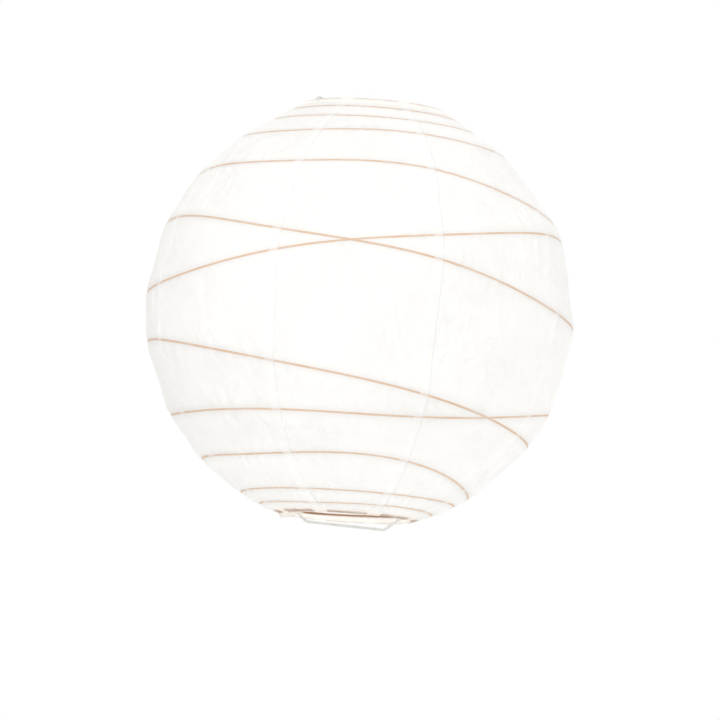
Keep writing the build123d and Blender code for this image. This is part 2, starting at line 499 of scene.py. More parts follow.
@dataclass(frozen=True)
class ShadeSizes:
    """Sizes that the paper, hoops, rings and hems share, in metres and degrees."""

    radius: float = 224.5 * MM             # inner face of the paper
    paper: float = 0.12 * MM               # thickness of one sheet
    gore_count: int = 8
    first_seam: float = 34.0               # azimuth of the first gore's edge
    lap: float = 10.0 * MM                 # width of a seam
    ring_wire: float = 2.5 * MM            # thickness of the end rings' wire
    rib_wire: float = 1.6 * MM             # thickness of the hoops' wire
    rib_clearance: float = 0.3 * MM        # between a hoop and the paper
    crossing_clearance: float = 0.8 * MM   # between two hoops that cross
    hem_clearance: float = 0.3 * MM        # between an end ring and its paper
    hem_width: float = 10.0 * MM
    hem_gap: float = 0.3 * MM              # between a hem and the first place of the single paper
    top_ring: float = 75.0 * MM            # radius of the wire's centre line
    bottom_ring: float = 69.0 * MM
    collar_latitude: float = 60.5          # where the round wall turns into the collar
    collar_lift: float = 7.0 * MM          # how far the top ring is drawn up above the globe's layer
    folded_share: float = 0.08             # share of its height that the folded shade keeps

    @property
    def hem_inner(self) -> float:
        """Distance from a ring's centre line to the paper that passes over it."""
        return self.ring_wire / 2 + self.hem_clearance

    @property
    def ring_layer(self) -> float:
        """Distance from the globe's centre to the bottom ring's centre line."""
        return self.radius - self.hem_inner

    @property
    def top_height(self) -> float:
        """Height of the top ring from the globe's centre."""
        return math.sqrt(self.ring_layer**2 - self.top_ring**2) + self.collar_lift

    @property
    def bottom_latitude(self) -> float:
        """Latitude of the bottom ring, in degrees."""
        return -math.degrees(math.acos(self.bottom_ring / self.ring_layer))

    @property
    def bottom_height(self) -> float:
        """Height of the bottom ring from the globe's centre."""
        return -math.sqrt(self.ring_layer**2 - self.bottom_ring**2)

    @property
    def low_edge(self) -> float:
        """Latitude where the hem ends and the single paper begins, in degrees."""
        return self.bottom_latitude + math.degrees((self.hem_width + self.hem_gap) / self.ring_layer)

    @property
    def gore_angle(self) -> float:
        """Angle that one gore takes round the lantern, in radians."""
        return math.tau / self.gore_count

    @property
    def wall_length(self) -> float:
        """Length of the round wall from the bottom ring up to the collar's foot."""
        return self.radius * math.radians(self.collar_latitude - self.bottom_latitude)

    @property
    def collar_foot(self) -> tuple[float, float]:
        """Radius and height where the round wall turns into the straight collar."""
        high = math.radians(self.collar_latitude)
        return self.radius * math.cos(high), self.radius * math.sin(high)

    @property
    def collar_span(self) -> tuple[float, float]:
        """How far inwards and up the top ring lies from the collar's foot."""
        foot = self.collar_foot
        return foot[0] - self.top_ring, self.top_height - foot[1]

    @property
    def collar_reach(self) -> float:
        """Length of the collar from its foot to the top ring's centre line."""
        return math.sqrt(math.hypot(*self.collar_span) ** 2 - self.hem_inner**2)

    @property
    def collar_slope(self) -> float:
        """Slope of the collar above the level, in radians."""
        across, up = self.collar_span
        return math.atan2(up, across) + math.asin(self.hem_inner / math.hypot(across, up))

    def on_collar(self, share: float) -> tuple[float, float]:
        """Gives a point of the collar's single paper.

        Args:
            share: How far up it lies, 0 at the foot and 1 where the hem begins.

        Returns:
            Radius and height, in metres.
        """
        along = share * (self.collar_reach - self.hem_width - self.hem_gap)
        lean, foot = self.collar_slope, self.collar_foot
        return foot[0] - along * math.cos(lean), foot[1] + along * math.sin(lean)

    def hoop_place(self, hoop: Hoop) -> tuple[float, float]:
        """Gives a hoop's centre-line radius and its height along its own axis.

        Args:
            hoop: The hoop.

        Returns:
            Radius and height, in metres.
        """
        inset = self.rib_clearance + self.rib_wire / 2
        if hoop.up_collar:
            radius, height = self.on_collar(hoop.up_collar)
            return radius - inset * math.sin(self.collar_slope), height - inset * math.cos(self.collar_slope)
        layer = self.radius - inset
        if hoop.inner:
            layer -= self.rib_wire + self.crossing_clearance
        latitude = math.radians(self.latitude(hoop))
        return layer * math.cos(latitude), layer * math.sin(latitude)

    def latitude(self, hoop: Hoop) -> float:
        """Gives a hoop's latitude about its own axis, where the paper shows it.

        Args:
            hoop: The hoop.

        Returns:
            The latitude, in degrees.
        """
        if hoop.up_collar:
            radius, height = self.on_collar(hoop.up_collar)
            return math.degrees(math.atan2(height, radius))
        return self.low_edge + hoop.station * (self.collar_latitude - self.low_edge)

    def distances(self, writer: NodeWriter, place: Socket) -> list[Socket]:
        """Writes each hoop's distance along the paper, above the hoop as positive.

        Args:
            writer: The tree that the nodes go into.
            place: A point of the open shade, from the globe's centre.

        Returns:
            One number for each hoop.
        """
        heading = writer.vector("NORMALIZE", place)
        azimuth = writer.azimuth(place)
        found = []
        for hoop in HOOPS:
            rise = writer.math("ARCSINE", writer.vector("DOT_PRODUCT", heading, tuple(hoop.axis)))
            level = self.radius * math.radians(self.latitude(hoop))
            gap = writer.math("MULTIPLY_ADD", rise, self.radius, -level)
            for wave in hoop.waves:
                turn = writer.math("MULTIPLY_ADD", azimuth, float(wave.turns), wave.phase)
                gap = writer.math("MULTIPLY_ADD", writer.math("SINE", turn), -wave.size, gap)
            found.append(gap)
        return found


SHADE = ShadeSizes()
GLOBE_HEIGHT = (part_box("top_ring")[0].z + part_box("top_ring")[1].z) / 2 - SHADE.top_height
GLOBE_PLACE = (0.0, 0.0, GLOBE_HEIGHT)


def fold_up(piece: bpy.types.Object) -> None:
    """Makes a piece ride on the hanging frame, with a mesh of its own."""
    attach(piece, "hanging_frame")
    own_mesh(piece)


# ---------------------------------------------------------------------------------- finishes
SURFACE_OUTPUTS = [
    ("Colour", "NodeSocketColor"),
    ("Roughness", "NodeSocketFloat"),
    ("Height", "NodeSocketFloat"),
]


class Coat(enum.Enum):
    """The coats that a wire or stamping of this lantern comes in."""

    WHITE_POWDER = "white powder coat"
    BROWN_WRAP = "brown paper wrap"


def solid(colour: Triple) -> tuple[float, float, float, float]:
    """Returns a colour with nothing see-through."""
    return (*colour, 1.0)


def new_material(name: str) -> tuple[bpy.types.Material, NodeWriter, bpy.types.Node]:
    """Makes a material that holds only its output.

    Args:
        name: The material's name.

    Returns:
        The material, its writer and its output node.
    """
    made = bpy.data.materials.new(name)
    made.use_nodes = True
    made.node_tree.nodes.clear()
    writer = NodeWriter(made.node_tree)
    return made, writer, writer.node("ShaderNodeOutputMaterial")


@dataclass(frozen=True)
class TissueFibres:
    """The shared look of tissue: fibres, clouds, and small folds with painted shade along them. Scales are in
    cells a metre.
    """

    cloud_scale: float = 55.0
    long_fibre_scale: float = 1500.0
    cross_fibre_scale: float = 1300.0
    up_fold_scale: float = 95.0
    lean_fold_scale: float = 150.0
    lean_fold_angle: float = 0.8           # radians
    lean_fold_share: float = 0.6           # of an upright fold
    area_scale: float = 16.0               # of the areas that hold folds
    fold_shade: float = 0.03               # painted shade: how much darker a fold is drawn
    fibre_gloss: float = 0.2               # how much smoother a fibre is
    fibre_height: float = 0.06             # heights are shares of an upright fold's
    cloud_height: float = 0.5

    def folds(self, writer: NodeWriter, place: Socket) -> Socket:
        """Writes the small folds.

        Args:
            writer: The group's writer.
            place: Where the folds are read.

        Returns:
            About 1 along the folds and 0 between them.
        """
        up_folds = writer.ridges(writer.vector("MULTIPLY", place, (1.0, 1.0, 0.25)), self.up_fold_scale, 9.0)
        leaning = writer.leaning(place, (0.6, 0.8, 0.0), self.lean_fold_angle, (1.0, 1.0, 0.2))
        lean_folds = writer.ridges(leaning, self.lean_fold_scale, 8.0)
        areas = writer.step(writer.noise(place, self.area_scale, 1.0), 0.42, 0.62)
        both = writer.math("MULTIPLY_ADD", lean_folds, self.lean_fold_share, up_folds)
        return writer.math("MULTIPLY", both, areas)

    def build(self) -> bpy.types.NodeTree:
        """Makes the group.

        Returns:
            A group that turns a place and a colour into a colour, a roughness and a height.
        """
        writer, given, out = new_tree(
            "Tissue fibres",
            "ShaderNodeTree",
            [
                ("Place", "NodeSocketVector", None),
                ("Colour", "NodeSocketColor", (0.9, 0.9, 0.9, 1.0)),
                ("Clouds", "NodeSocketFloat", 0.04),
                ("Fibres", "NodeSocketFloat", 0.05),
                ("Folds", "NodeSocketFloat", 0.5),
            ],
            SURFACE_OUTPUTS,
        )
        value, place = given.outputs, given.outputs["Place"]
        cloud = writer.noise(place, self.cloud_scale, 4.0, 0.6)
        long_way = writer.vector("MULTIPLY", place, (1.0, 1.0, 0.22))
        cross_way = writer.vector("MULTIPLY", place, (0.25, 0.25, 1.0))
        fibre = writer.math(
            "MAXIMUM",
            writer.step(writer.noise(long_way, self.long_fibre_scale, 3.0, 0.7), 0.56, 0.70),
            writer.step(writer.noise(cross_way, self.cross_fibre_scale, 3.0, 0.7), 0.58, 0.72),
        )
        fold = self.folds(writer, place)
        tone = writer.math("MULTIPLY_ADD", writer.math("SUBTRACT", cloud, 0.5), value["Clouds"], 1.0)
        tone = writer.math("SUBTRACT", tone, writer.product(fibre, value["Fibres"]))
        # painted shade: the folds are drawn darker, scaled by Folds, which also sets their relief
        tone = writer.math("SUBTRACT", tone, writer.product(fold, self.fold_shade, value["Folds"]))
        writer.put(out.inputs["Colour"], writer.toned(value["Colour"], tone))
        rough = writer.math("SUBTRACT", cloud, writer.product(fibre, self.fibre_gloss))
        writer.put(out.inputs["Roughness"], writer.step(rough, 0.2, 0.8, 0.92, 0.74))
        height = writer.math("MULTIPLY_ADD", fold, value["Folds"], writer.product(fibre, self.fibre_height))
        writer.put(out.inputs["Height"], writer.math("MULTIPLY_ADD", cloud, self.cloud_height, height))
        return writer.tree


@dataclass(frozen=True)
class PaperSkin:
    """How a sheet of paper takes light: its relief, a painted glow and the light that passes through it."""

    clouds: float                          # strengths of the tissue group's parts
    fibres: float
    # folds sets both the folds' relief and their painted shade
    folds: float
    # painted glow: strength of the light that the sheet emits as if lit from inside
    glow: float
    through: float                         # share of light that passes through the sheet
    strength: float                        # of the relief
    relief: float                          # its height, metres
    sheen: float = 0.0
    specular: float = 0.35

    def tissue(
        self, writer: NodeWriter, group: bpy.types.NodeTree, place: Socket, colour: Source
    ) -> bpy.types.Node:
        """Places the shared tissue group in a material.

        Args:
            writer: The material's writer.
            group: The tissue group.
            place: Where its patterns are read.
            colour: The paper's colour.

        Returns:
            The group's node.
        """
        return writer.node(
            "ShaderNodeGroup",
            {
                "Place": place,
                "Colour": colour,
                "Clouds": self.clouds,
                "Fibres": self.fibres,
                "Folds": self.folds,
            },
            node_tree=group,
        )

    def dress(self, writer: NodeWriter, out: bpy.types.Node, tissue: bpy.types.Node, colour: Source) -> None:
        """Writes the shaders of a paper material, with its painted glow.

        Args:
            writer: The material's writer.
            out: Its output node.
            tissue: The tissue group's node.
            colour: The colour that shows.
        """
        bump = writer.node(
            "ShaderNodeBump",
            {"Height": tissue.outputs["Height"], "Strength": self.strength, "Distance": self.relief},
        )
        skin = writer.node(
            "ShaderNodeBsdfPrincipled",
            {
                "Base Color": colour,
                "Roughness": tissue.outputs["Roughness"],
                "Normal": bump.outputs["Normal"],
                # painted glow: the sheet emits its own colour, though it is no lamp
                "Emission Color": colour,
                "Emission Strength": self.glow,
                "Sheen Weight": self.sheen,
                "Specular IOR Level": self.specular,
            },
        )
        thin = writer.node("ShaderNodeBsdfTranslucent", {"Color": colour, "Normal": bump.outputs["Normal"]})
        writer.put(out.inputs["Surface"], writer.shaders(self.through, skin, thin).outputs[0])


@dataclass(frozen=True)
class TissueFinish:
    """Thin white paper with a painted glow, and painted shadow lines where the hoops lie behind it."""

    colour: Triple = (0.936, 0.932, 0.923)
    # painted shadow: the hoops' lines are drawn where the wire behind the paper blocks the light from inside
    hoop_shadow_colour: Triple = (0.77, 0.545, 0.365)
    hoop_shadow_width: float = 2.3 * MM
    hoop_shadow_depth: float = 0.86
    hoop_shadow_patches: float = 38.0             # scale of the painted shadow line's paler places, cells a metre
    palest: float = 0.72                   # share of the painted shadow line's colour that its palest place keeps
    lap_veil: float = 0.55                 # share of the painted shadow line's colour that a lap hides
    lap_light: float = 0.03                # how much lighter a lap looks
    # painted shade: a faint broad shadow beside each hoop
    painted_penumbra_width: float = 9.0 * MM
    painted_penumbra_depth: float = 0.05
    # the tissue's glow is a painted glow, as if lit from inside
    skin: PaperSkin = PaperSkin(
        clouds=0.05, fibres=0.03, folds=0.9, glow=0.17, through=0.28, strength=0.5, relief=0.35 * MM, sheen=0.08
    )

    def build(self, fibres: bpy.types.NodeTree) -> bpy.types.Material:
        """Makes the material.

        Args:
            fibres: The shared tissue group.

        Returns:
            The material.
        """
        made, writer, out = new_material("Lantern tissue")
        place, lap = writer.read(REST_PLACE, "Vector"), writer.read(LAP, "Fac")
        tissue = self.skin.tissue(writer, fibres, place, solid(self.colour))
        nearest: Source = FAR
        for gap in SHADE.distances(writer, place):
            nearest = writer.math("MINIMUM", nearest, writer.math("ABSOLUTE", gap))
        # painted shadow line along each hoop, paler in patches and under a lap
        line = writer.step(nearest, self.hoop_shadow_width * 0.32, self.hoop_shadow_width * 0.62, 1.0, 0.0)
        patchy = writer.step(writer.noise(place, self.hoop_shadow_patches, 3.0), 0.3, 0.7, self.palest, 1.0)
        veil = writer.math("MULTIPLY_ADD", lap, -self.lap_veil, 1.0)
        depth = writer.product(line, patchy, veil, self.hoop_shadow_depth)
        # painted shade: the paper is drawn a little darker beside each hoop
        painted_penumbra = writer.step(nearest, 0.0, self.painted_penumbra_width, self.painted_penumbra_depth, 0.0)
        tone = writer.math("SUBTRACT", 1.0, writer.math("MULTIPLY_ADD", lap, -self.lap_light, painted_penumbra))
        body = writer.toned(tissue.outputs["Colour"], tone)
        self.skin.dress(writer, out, tissue, writer.mix(depth, body, solid(self.hoop_shadow_colour)))
        return made


@dataclass(frozen=True)
class HemFinish:
    """Doubled paper folded round a ring, brown where the wire and the glue show through."""

    paper: Triple = (0.93, 0.912, 0.885)
    stain: Triple = (0.44, 0.29, 0.185)
    stain_share: float = 0.9
    patch_width: float = 9.0 * MM          # half width of the pale patch that a seam leaves
    patch_stain: float = 0.18              # share of the stain that shows in a patch
    ragged: float = 6.0 * MM               # how uneven a patch's edge is
    ragged_scale: float = 160.0            # cells a metre
    streak_scale: float = 70.0
    palest: float = 0.55                   # share of the stain in its palest streak
    # the hem's glow is a painted glow, as if lit from inside
    skin: PaperSkin = PaperSkin(
        clouds=0.12, fibres=0.06, folds=1.0, glow=0.26, through=0.25, strength=0.6, relief=0.3 * MM
    )

    def build(self, name: str, fibres: bpy.types.NodeTree, ring_radius: float) -> bpy.types.Material:
        """Makes the material.

        Args:
            name: The material's name.
            fibres: The shared tissue group.
            ring_radius: Radius of the ring that the hem is folded round.

        Returns:
            The material.
        """
        made, writer, out = new_material(name)
        place, turn = writer.read(REST_PLACE, "Vector"), writer.read(HEM_SIDE, "Fac")
        start = math.radians(SHADE.first_seam) + SHADE.lap / 2 / ring_radius
        from_seam = writer.math("SUBTRACT", writer.azimuth(place), start)
        nearest = writer.math("PINGPONG", from_seam, SHADE.gore_angle / 2)
        uneven = writer.noise(place, self.ragged_scale, 3.0)
        uneven = writer.math("MULTIPLY_ADD", uneven, self.ragged, -self.ragged / 2)
        away = writer.math("MULTIPLY_ADD", nearest, ring_radius, uneven)
        brown = writer.step(away, self.patch_width * 0.6, self.patch_width, self.patch_stain, 1.0)
        streak = writer.noise(writer.vector("MULTIPLY", place, (1, 1, 4)), self.streak_scale, 4.0)
        streak = writer.step(streak, 0.25, 0.75, self.palest, 1.0)
        wet = writer.product(brown, streak, turn, self.stain_share)
        colour = writer.mix(wet, solid(self.paper), solid(self.stain))
        tissue = self.skin.tissue(writer, fibres, place, colour)
        self.skin.dress(writer, out, tissue, tissue.outputs["Colour"])
        return made


@dataclass(frozen=True)
class CoatWear:
    """The shared wear of a coated wire: uneven colour, a pebbled coat and rubbed spots."""

    cloud_scale: float = 90.0              # scales are in cells a metre
    spot_scale: float = 420.0
    darkest: float = 0.90                  # the coat's tones, as shares of its colour
    lightest: float = 1.04
    worn_depth: float = 0.8                # how deep a rubbed spot lies, as a share of a pebble
    worn_roughness: float = 0.25           # how much rougher it is

    def build(self) -> bpy.types.NodeTree:
        """Makes the group.

        Returns:
            A group that turns a place and colours into a colour, a roughness and a height.
        """
        writer, given, out = new_tree(
            "Coated wire",
            "ShaderNodeTree",
            [
                ("Place", "NodeSocketVector", None),
                ("Colour", "NodeSocketColor", (0.8, 0.8, 0.8, 1.0)),
                ("Rubbed", "NodeSocketColor", (0.4, 0.4, 0.4, 1.0)),
                ("Wear", "NodeSocketFloat", 0.3),
                ("Roughness", "NodeSocketFloat", 0.4),
                ("Grain", "NodeSocketFloat", 2200.0),
            ],
            SURFACE_OUTPUTS,
        )
        value, place = given.outputs, given.outputs["Place"]
        cloud = writer.noise(place, self.cloud_scale, 4.0, 0.6)
        pebbles = writer.noise(place, value["Grain"])
        spots = writer.step(writer.noise(place, self.spot_scale, 5.0, 0.65), 0.62, 0.72)
        worn = writer.product(spots, value["Wear"])
        tone = writer.step(cloud, 0.2, 0.8, self.darkest, self.lightest)
        base = writer.toned(value["Colour"], tone)
        writer.put(out.inputs["Colour"], writer.mix(worn, base, value["Rubbed"]))
        rough = writer.math("MULTIPLY_ADD", writer.math("SUBTRACT", cloud, 0.5), 0.3, value["Roughness"])
        rough = writer.math("MULTIPLY_ADD", worn, self.worn_roughness, rough, clamp=True)
        writer.put(out.inputs["Roughness"], rough)
        writer.put(out.inputs["Height"], writer.math("MULTIPLY_ADD", worn, -self.worn_depth, pebbles))
        return writer.tree


@dataclass(frozen=True)
class WireFinish:
    """A coated wire or stamping."""

    name: str
    coat: Coat
    colour: Triple
    rubbed: Triple
    wear: float
    roughness: float
    grain: float                           # the coat's pebbles, cells a metre
    relief: float                          # depth of the coat's texture, metres
    clear_coat: float
    specular: float
    wraps: float = 260.0                   # windings of a paper wrap in one turn of the ring
    wrap_height: float = 0.5

    def build(self, wear_group: bpy.types.NodeTree) -> bpy.types.Material:
        """Makes the material.

        Args:
            wear_group: The shared coated-wire group.

        Returns:
            The material.
        """
        made, writer, out = new_material(self.name)
        place = writer.node("ShaderNodeTexCoord").outputs["Object"]
        wire = writer.node(
            "ShaderNodeGroup",
            {
                "Place": place,
                "Colour": solid(self.colour),
                "Rubbed": solid(self.rubbed),
                "Wear": self.wear,
                "Roughness": self.roughness,
                "Grain": self.grain,
            },
            node_tree=wear_group,
        )
        height = wire.outputs["Height"]
        if self.coat is Coat.BROWN_WRAP:
            wraps = writer.math("SINE", writer.math("MULTIPLY", writer.azimuth(place), self.wraps))
            height = writer.math("MULTIPLY_ADD", wraps, self.wrap_height, height)
        bump = writer.node("ShaderNodeBump", {"Height": height, "Strength": 0.5, "Distance": self.relief})
        skin = writer.node(
            "ShaderNodeBsdfPrincipled",
            {
                "Base Color": wire.outputs["Colour"],
                "Roughness": wire.outputs["Roughness"],
                "Normal": bump.outputs["Normal"],
                "Coat Weight": self.clear_coat,
                "Coat Roughness": 0.15,
                "Specular IOR Level": self.specular,
            },
        )
        writer.put(out.inputs["Surface"], skin.outputs[0])
        return made


WRAP = WireFinish(
    name="Brown wrapped wire",
    coat=Coat.BROWN_WRAP,
    colour=(0.43, 0.27, 0.16),
    rubbed=(0.30, 0.19, 0.12),
    wear=0.5,
    roughness=0.62,
    grain=900.0,
    relief=0.12 * MM,
    clear_coat=0.0,
    specular=0.3,
)
POWDER = WireFinish(
    name="White powder coat",
    coat=Coat.WHITE_POWDER,
    colour=(0.82, 0.81, 0.79),
    rubbed=(0.40, 0.39, 0.38),
    wear=0.35,
    roughness=0.28,
    grain=1900.0,
    relief=0.06 * MM,
    clear_coat=0.5,
    specular=0.5,
)


def floor_material() -> bpy.types.Material:
    """Makes the plain pale floor's material, which is clear when it is seen from below.

    Returns:
        The material.
    """
    made, writer, out = new_material("Pale floor")
    skin = writer.node(
        "ShaderNodeBsdfPrincipled",
        {
            "Base Color": (0.87, 0.87, 0.86, 1.0),
            "Roughness": 0.7,
            "Emission Color": (1.0, 1.0, 0.99, 1.0),
            "Emission Strength": 0.14,
        },
    )
    below = writer.node("ShaderNodeNewGeometry").outputs["Backfacing"]
    clear = writer.node("ShaderNodeBsdfTransparent")
    writer.put(out.inputs["Surface"], writer.shaders(below, skin, clear).outputs[0])
    return made


# ---------------------------------------------------------------------------------- paper
@dataclass(frozen=True)
class Wrinkles:
    """Long ridges that run one way over areas of the paper."""

    axis: Triple                           # the axis that they are turned about
    angle: float                           # radians
    squeeze: Triple
    scale: float                           # ridges a metre
    threshold: float                       # higher leaves fewer areas with them


WRINKLES = (
    Wrinkles((0.0, 0.0, 1.0), 0.0, (1.0, 1.0, 0.2), 42.0, 0.50),
    Wrinkles((0.6, 0.8, 0.0), 0.7, (1.0, 1.0, 0.22), 36.0, 0.54),
    Wrinkles((0.8, -0.6, 0.0), 0.9, (1.0, 1.0, 0.25), 33.0, 0.56),
)


@dataclass(frozen=True)
class Spot:
    """A point of a gore before its small forms, as sockets of the gore's tree."""

    place: Socket                          # where noise is read
    along: Socket                          # up the gore from the bottom ring's centre line, metres
    azimuth: Socket                        # radians
    turned: Socket                         # from the gore's first edge, radians
    reach: Socket                          # distance from the lantern's axis
    near: Socket                           # distance to the nearest hoop or ring


@dataclass
class PaperShade:
    """Eight gores of thin paper, taut from hoop to hoop and lapped at their seams."""

    finish: bpy.types.Material
    columns: int = 96
    rows: int = 250
    lap_share: float = 0.055               # share of the columns that lies on the next gore
    end_gap: float = 3.0 * MM              # from a ring's centre line to the gore's cut edge
    layer_step: float = 0.17 * MM          # how far the lap lies above the next gore
    buckle: float = 1.6 * MM
    crease: float = 0.35 * MM
    wrinkle: float = 1.0 * MM
    pucker: float = 1.3 * MM
    seam_pucker: float = 0.5 * MM
    seed: float = 4.0                      # moves the noise to another part of its pattern
    softness: float = 0.35 * MM            # rounds the paper where it turns over a hoop
    buckle_scale: float = 15.0             # scales are in cells a metre
    facet_scale: float = 17.0
    small_facet_scale: float = 31.0
    patch_scale: float = 9.0               # of the patches that hold creases
    wrinkle_patch_scale: float = 11.0
    pucker_patch_scale: float = 12.0
    wander_scale: float = 24.0
    wander: float = 14.0                   # how far the puckers stray from even steps, radians
    pucker_count: float = 66.0             # puckers round the whole shade
    rung: float = 15.0 * MM                # from one seam pucker to the next
    hem_fade: tuple[float, float] = (10.6 * MM, 17.0 * MM)     # from a ring: no forms, all forms
    hoop_fade: tuple[float, float] = (1.5 * MM, 14.0 * MM)     # from a hoop, in the same way
    pucker_rise: tuple[float, float] = (0.0, 5.0 * MM)         # from a hoop: puckers begin
    pucker_fall: tuple[float, float] = (6.0 * MM, 26.0 * MM)   # and end
    seam_fall: tuple[float, float] = (4.0 * MM, 24.0 * MM)     # from a seam: its puckers end

    def length(self) -> float:
        """Length of a gore from cut edge to cut edge."""
        return SHADE.wall_length + SHADE.collar_reach - 2 * self.end_gap

    def sag(self, writer: NodeWriter, place: Socket) -> tuple[Socket, Socket]:
        """Writes how far the taut paper lies inside the globe between two hoops.

        Args:
            writer: The gore's tree.
            place: A point of the globe.

        Returns:
            The sag, and the distance to the nearest hoop.
        """
        above: Source = FAR
        rise = writer.math("ARCSINE", writer.split(writer.vector("NORMALIZE", place))[2])
        ring = SHADE.radius * math.radians(SHADE.bottom_latitude)
        below = writer.math("MULTIPLY_ADD", rise, SHADE.radius, -ring)
        for gap in SHADE.distances(writer, place):
            under, over = writer.math("LESS_THAN", gap, 0.0), writer.math("ABSOLUTE", gap)
            up = writer.math("MULTIPLY_ADD", writer.math("SUBTRACT", 1.0, under), FAR, over)
            down = writer.math("MULTIPLY_ADD", under, FAR, over)
            above = writer.math("MINIMUM", above, up)
            below = writer.math("MINIMUM", below, down)
        depth = writer.product(above, below, 0.5 / SHADE.radius)
        soft = writer.math("DIVIDE", writer.product(depth, depth), writer.math("ADD", depth, self.softness))
        return soft, writer.math("MINIMUM", above, below)

    def forms(self, writer: NodeWriter, value: bpy.types.NodeOutputs, spot: Spot) -> Socket:
        """Writes the paper's small forms: buckles, creases, wrinkles and puckers.

        Args:
            writer: The gore's tree.
            value: The tree's inputs.
            spot: The point.

        Returns:
            How far the paper stands out, in metres.
        """
        whole = SHADE.wall_length + SHADE.collar_reach
        to_ring = writer.math("MINIMUM", spot.along, writer.math("SUBTRACT", whole, spot.along))
        off_hem = writer.step(to_ring, *self.hem_fade)
        clear = writer.product(writer.step(spot.near, *self.hoop_fade), off_hem)
        # Soft buckles and sharp creases between the hoops.
        buckle = writer.math("SUBTRACT", writer.noise(spot.place, self.buckle_scale, 2.0, 0.55), 0.5)
        apart = writer.vector("ADD", spot.place, (1.3, 2.1, 0.7))
        small = writer.product(writer.creases(apart, self.small_facet_scale, 0.12), 0.6)
        crease = writer.math("MAXIMUM", writer.creases(spot.place, self.facet_scale, 0.10), small)
        patches = writer.step(writer.noise(spot.place, self.patch_scale, 1.0), 0.38, 0.62)
        crease = writer.product(crease, patches)
        forms = writer.product(buckle, writer.product(value["Buckle"], 2.0))
        forms = writer.math("MULTIPLY_ADD", crease, value["Crease"], forms)
        for kind in WRINKLES:
            leaning = writer.leaning(spot.place, kind.axis, kind.angle, kind.squeeze)
            areas = writer.vector("ADD", spot.place, kind.axis)
            areas = writer.noise(areas, self.wrinkle_patch_scale, 1.0)
            areas = writer.step(areas, kind.threshold - 0.08, kind.threshold + 0.1)
            ridge = writer.product(writer.ridges(leaning, kind.scale, 7.0), areas)
            forms = writer.math("MULTIPLY_ADD", ridge, value["Wrinkle"], forms)
        forms = writer.product(forms, clear)
        # Puckers beside the hoops.
        wander = writer.product(writer.noise(spot.place, self.wander_scale, 1.0), self.wander)
        ripple = writer.math("SINE", writer.math("MULTIPLY_ADD", spot.azimuth, self.pucker_count, wander))
        ripple = writer.math("MULTIPLY_ADD", ripple, 0.5, 0.5)
        rise = writer.step(spot.near, *self.pucker_rise)
        fall = writer.step(spot.near, *self.pucker_fall, 1.0, 0.0)
        beside_hoop = writer.product(rise, fall, off_hem)
        rough = writer.step(writer.noise(spot.place, self.pucker_patch_scale, 1.0), 0.4, 0.65)
        ripple = writer.product(ripple, beside_hoop, rough)
        forms = writer.math("MULTIPLY_ADD", ripple, value["Pucker"], forms)
        # Puckers across the seams.
        to_end = writer.math("ABSOLUTE", writer.math("SUBTRACT", spot.turned, value["Gore Angle"]))
        nearer = writer.math("MINIMUM", writer.math("ABSOLUTE", spot.turned), to_end)
        beside_seam = writer.step(writer.product(nearer, spot.reach), *self.seam_fall, 1.0, 0.0)
        rung = writer.math("SINE", writer.math("MULTIPLY_ADD", spot.along, math.tau / self.rung, wander))
        rung = writer.product(writer.math("MULTIPLY_ADD", rung, 0.5, 0.5), beside_seam, clear)
        return writer.math("MULTIPLY_ADD", rung, value["Seam Pucker"], forms)

    def tree(self) -> bpy.types.NodeTree:
        """Builds the geometry tree of one gore.

        Returns:
            The tree.
        """
        number, whole = "NodeSocketFloat", "NodeSocketInt"
        writer, given, out = new_tree(
            "Paper gore",
            "GeometryNodeTree",
            [
                ("Start", number, 0.0),
                ("Gore Angle", number, SHADE.gore_angle),
                ("Lap", number, SHADE.lap),
                ("Length", number, self.length()),
                ("Buckle", number, self.buckle),
                ("Crease", number, self.crease),
                ("Wrinkle", number, self.wrinkle),
                ("Pucker", number, self.pucker),
                ("Seam Pucker", number, self.seam_pucker),
                ("Columns", whole, self.columns),
                ("Rows", whole, self.rows),
                ("Seed", number, self.seed),
                ("Paper", "NodeSocketMaterial", None),
            ],
            [("Gore", "NodeSocketGeometry")],
        )
        value = given.outputs
        grid = writer.node(
            "GeometryNodeMeshGrid",
            {"Size X": 1.0, "Size Y": 1.0, "Vertices X": value["Columns"], "Vertices Y": value["Rows"]},
        )
        across, up, _ = writer.split(writer.node("GeometryNodeInputPosition").outputs[0])
        across, up = writer.math("ADD", across, 0.5), writer.math("ADD", up, 0.5)
        # Along the gore: round wall first, then the straight collar.
        along = writer.math("MULTIPLY_ADD", up, value["Length"], self.end_gap)
        on_collar = writer.math("GREATER_THAN", along, SHADE.wall_length)
        on_wall = writer.math("MINIMUM", along, SHADE.wall_length)
        bottom = math.radians(SHADE.bottom_latitude)
        latitude = writer.math("MULTIPLY_ADD", on_wall, 1 / SHADE.radius, bottom)
        level, rise = writer.math("COSINE", latitude), writer.math("SINE", latitude)
        past = writer.math("MAXIMUM", writer.math("SUBTRACT", along, SHADE.wall_length), 0.0)
        lean = SHADE.collar_slope
        out_way = writer.blend(on_collar, level, math.sin(lean))
        up_way = writer.blend(on_collar, rise, math.cos(lean))
        reach = writer.math("MULTIPLY_ADD", past, -math.cos(lean), writer.product(level, SHADE.radius))
        height = writer.math("MULTIPLY_ADD", past, math.sin(lean), writer.product(rise, SHADE.radius))
